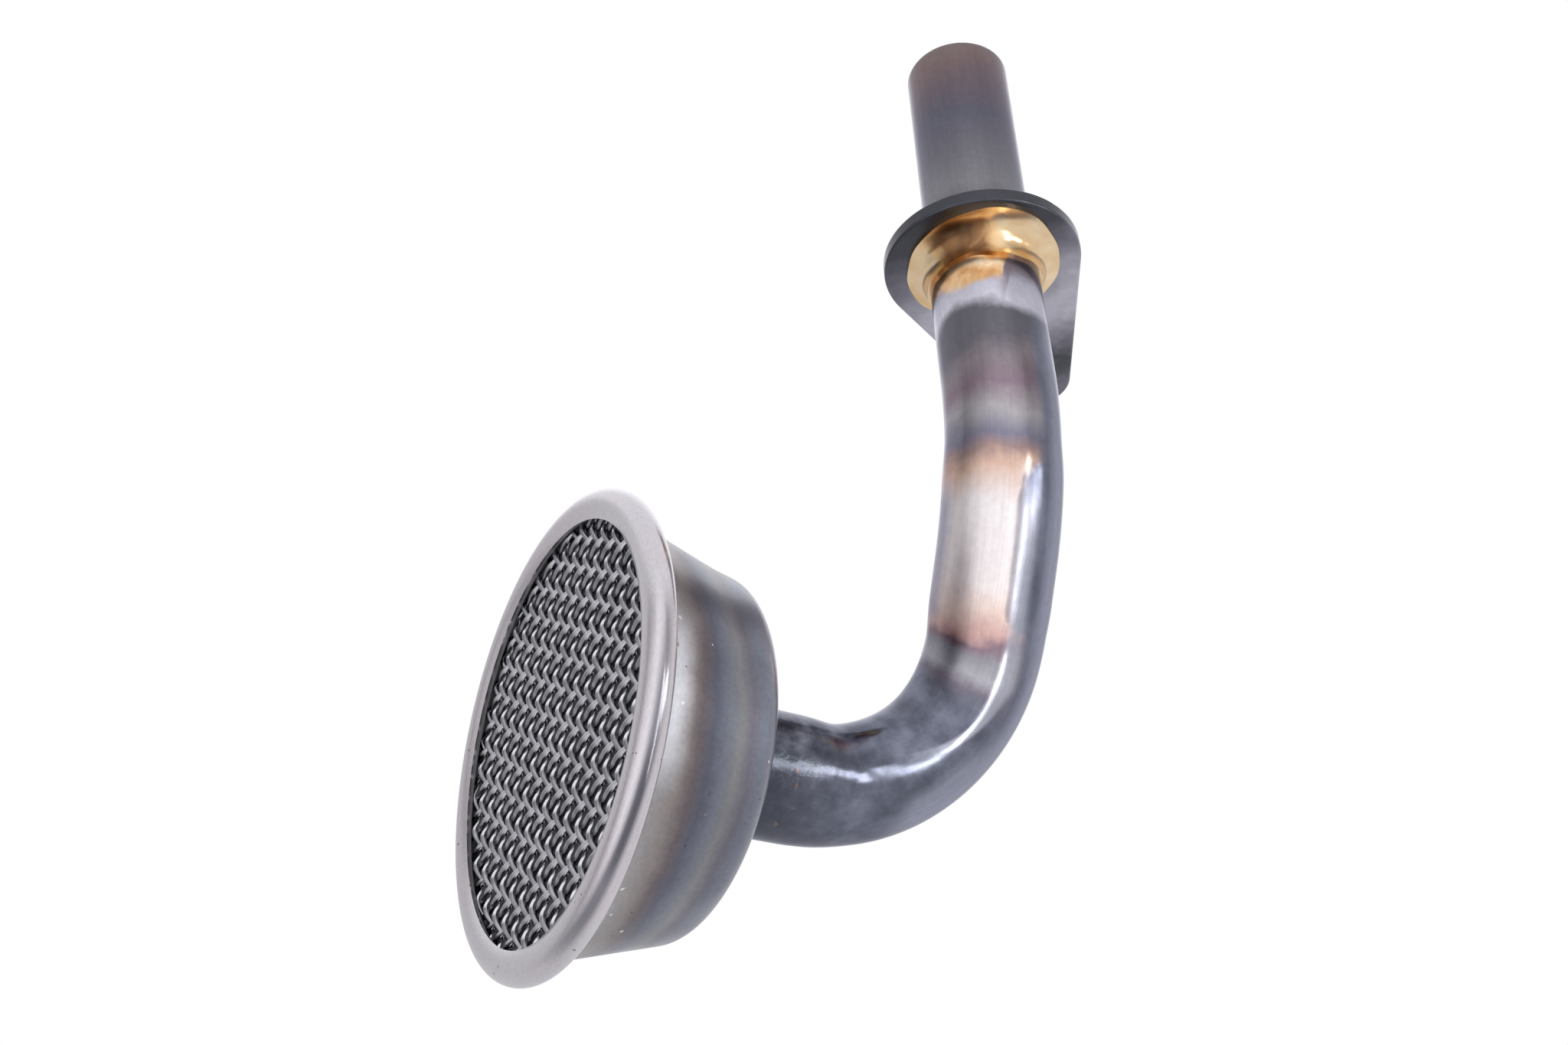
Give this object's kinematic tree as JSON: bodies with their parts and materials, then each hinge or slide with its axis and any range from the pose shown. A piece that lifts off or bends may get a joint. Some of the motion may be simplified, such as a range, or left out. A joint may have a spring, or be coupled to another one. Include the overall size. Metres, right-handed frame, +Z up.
{
  "type": "oil pick-up pipe with strainer",
  "caption": "Bent steel oil suction pipe with a round mesh strainer cup at one end and a bolt-on flange and spigot at the other.",
  "frame": {"origin": "on the spigot's axis, in the flange's seat face that meets the pump", "axes": "+Y out along the spigot into the pump, +Z up as fitted in an engine, with the mesh facing down"},
  "size_m": [0.0828, 0.1622, 0.0941],
  "materials": {
    "drawn_steel": "bare steel with heat tint from brazing",
    "mesh_wire": "bright woven steel wire",
    "tube_steel": "bare steel tube with bands of heat tint",
    "plate_steel": "dark heated steel plate",
    "brazing_brass": "run braze, gold to brown"
  },
  "bodies": {
    "root": {"strainer_cup": "drawn_steel", "strainer_mesh": "mesh_wire", "suction_tube": "tube_steel", "mounting_flange": "plate_steel", "flange_braze": "brazing_brass", "cup_braze": "brazing_brass"}
  },
  "joints": []
}
